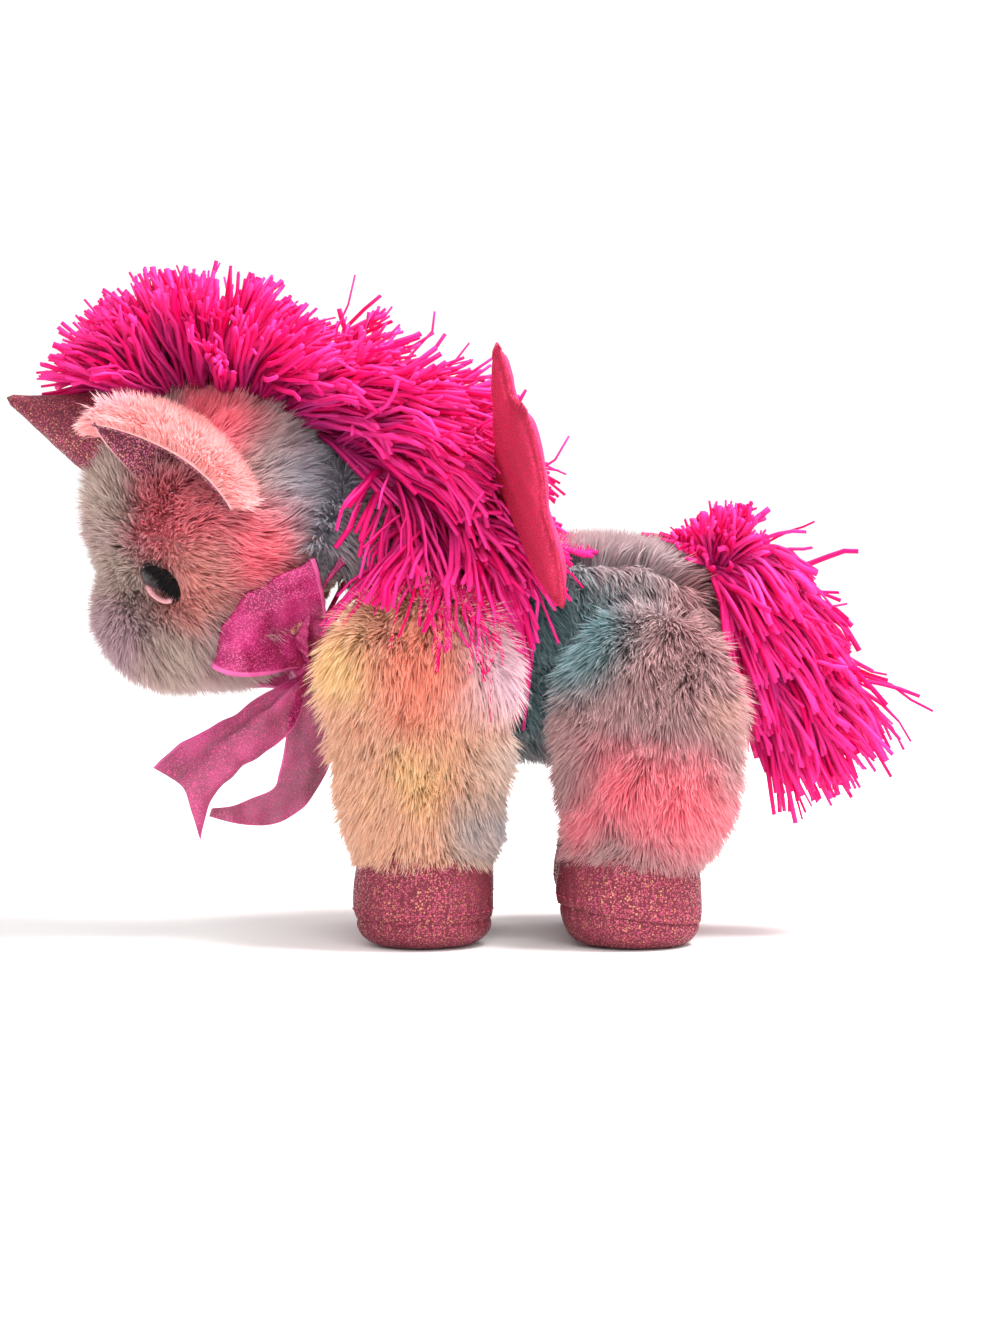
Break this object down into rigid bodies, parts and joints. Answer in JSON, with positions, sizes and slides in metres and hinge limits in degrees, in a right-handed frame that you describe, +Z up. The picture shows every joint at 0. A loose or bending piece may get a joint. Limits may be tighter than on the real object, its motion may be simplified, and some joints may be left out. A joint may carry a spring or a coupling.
{
  "type": "plush winged unicorn",
  "caption": "Small standing plush unicorn with padded wings, fringe mane and tail, glitter hooves and horn, and a ribbon bow at its neck.",
  "frame": {"origin": "on the floor, under the middle of the whole toy", "axes": "+Z up, -X towards the nose, the toy's own left side at -Y"},
  "size_m": [0.2535, 0.14, 0.1922],
  "materials": {
    "fur": "matte",
    "stuffing": "matte",
    "fringe": "satin",
    "glitter_cloth": "satin",
    "wing_front_cloth": "satin",
    "wing_back_cloth": "satin",
    "ribbon": "satin",
    "tail_cloth": "matte",
    "eyelid_cloth": "matte",
    "eye_plastic": "gloss",
    "washer_plastic": "matte"
  },
  "bodies": {
    "torso": {"torso_cover": "fur", "torso_stuffing": "stuffing", "withers_mane": "fringe"},
    "neck": {"neck_cover": "fur", "neck_stuffing": "stuffing", "neck_mane": "fringe", "ribbon_band": "ribbon", "bow_knot": "ribbon", "bow_loop_left": "ribbon", "bow_loop_right": "ribbon", "ribbon_end_left": "ribbon", "ribbon_end_right": "ribbon"},
    "head": {"head_cover": "fur", "head_stuffing": "stuffing", "horn_cover": "glitter_cloth", "horn_stuffing": "stuffing", "head_mane": "fringe", "eye_left": "eye_plastic", "eye_right": "eye_plastic", "eye_washer_left": "washer_plastic", "eye_washer_right": "washer_plastic", "eyelid_left": "eyelid_cloth", "eyelid_right": "eyelid_cloth"},
    "ear_left": {"ear_left_back": "fur", "ear_left_lining": "glitter_cloth"},
    "ear_right": {"ear_right_back": "fur", "ear_right_lining": "glitter_cloth"},
    "wing_left": {"wing_left_back": "wing_back_cloth", "wing_left_front": "wing_front_cloth", "wing_left_padding": "stuffing"},
    "wing_right": {"wing_right_back": "wing_back_cloth", "wing_right_front": "wing_front_cloth", "wing_right_padding": "stuffing"},
    "front_leg_left": {"front_left_cover": "fur", "front_left_hoof": "glitter_cloth", "front_left_sole": "glitter_cloth", "front_left_stuffing": "stuffing"},
    "front_leg_right": {"front_right_cover": "fur", "front_right_hoof": "glitter_cloth", "front_right_sole": "glitter_cloth", "front_right_stuffing": "stuffing"},
    "hind_leg_left": {"hind_left_cover": "fur", "hind_left_hoof": "glitter_cloth", "hind_left_sole": "glitter_cloth", "hind_left_stuffing": "stuffing"},
    "hind_leg_right": {"hind_right_cover": "fur", "hind_right_hoof": "glitter_cloth", "hind_right_sole": "glitter_cloth", "hind_right_stuffing": "stuffing"},
    "tail": {"tail_core": "tail_cloth", "tail_hair": "fringe"}
  },
  "joints": [
    {"name": "neck_nod", "type": "hinge", "parent": "torso", "child": "neck", "pos_m": [-0.007, 0, 0.084], "axis": [0, 1, 0], "range_deg": [-14, 7], "stiffness_Nm_per_rad": 0.9},
    {"name": "head_turn", "type": "hinge", "parent": "neck", "child": "head", "pos_m": [-0.067, 0, 0.122], "axis": [0, 0, 1], "range_deg": [-28, 28], "stiffness_Nm_per_rad": 0.25},
    {"name": "ear_left_tip", "type": "hinge", "parent": "head", "child": "ear_left", "pos_m": [-0.067, 0, 0.122], "axis": [0.1965, -0.9544, 0.2246], "range_deg": [-20, 20], "stiffness_Nm_per_rad": 0.02},
    {"name": "ear_right_tip", "type": "hinge", "parent": "head", "child": "ear_right", "pos_m": [-0.067, 0, 0.122], "axis": [0.1965, 0.9544, 0.2246], "range_deg": [-20, 20], "stiffness_Nm_per_rad": 0.02},
    {"name": "wing_left_fold", "type": "hinge", "parent": "torso", "child": "wing_left", "pos_m": [0.017, -0.0035, 0.119], "axis": [-0.2334, 0, 0.9724], "range_deg": [-18, 25], "stiffness_Nm_per_rad": 0.05},
    {"name": "wing_right_fold", "type": "hinge", "parent": "torso", "child": "wing_right", "pos_m": [0.017, 0.0035, 0.119], "axis": [-0.2334, 0, 0.9724], "range_deg": [-25, 18], "stiffness_Nm_per_rad": 0.05},
    {"name": "front_leg_left_swing", "type": "hinge", "parent": "torso", "child": "front_leg_left", "pos_m": [-0.007, 0, 0.084], "axis": [0, 1, 0], "range_deg": [-8, 15], "stiffness_Nm_per_rad": 0.5},
    {"name": "front_leg_right_swing", "type": "hinge", "parent": "torso", "child": "front_leg_right", "pos_m": [-0.007, 0, 0.084], "axis": [0, 1, 0], "range_deg": [-8, 15], "stiffness_Nm_per_rad": 0.5},
    {"name": "hind_leg_left_swing", "type": "hinge", "parent": "torso", "child": "hind_leg_left", "pos_m": [0.056, 0, 0.08], "axis": [0, 1, 0], "range_deg": [-15, 8], "stiffness_Nm_per_rad": 0.5},
    {"name": "hind_leg_right_swing", "type": "hinge", "parent": "torso", "child": "hind_leg_right", "pos_m": [0.056, 0, 0.08], "axis": [0, 1, 0], "range_deg": [-15, 8], "stiffness_Nm_per_rad": 0.5},
    {"name": "tail_lift", "type": "hinge", "parent": "torso", "child": "tail", "pos_m": [0.076, 0, 0.104], "axis": [0, -1, 0], "range_deg": [-3, 35], "stiffness_Nm_per_rad": 0.08}
  ]
}
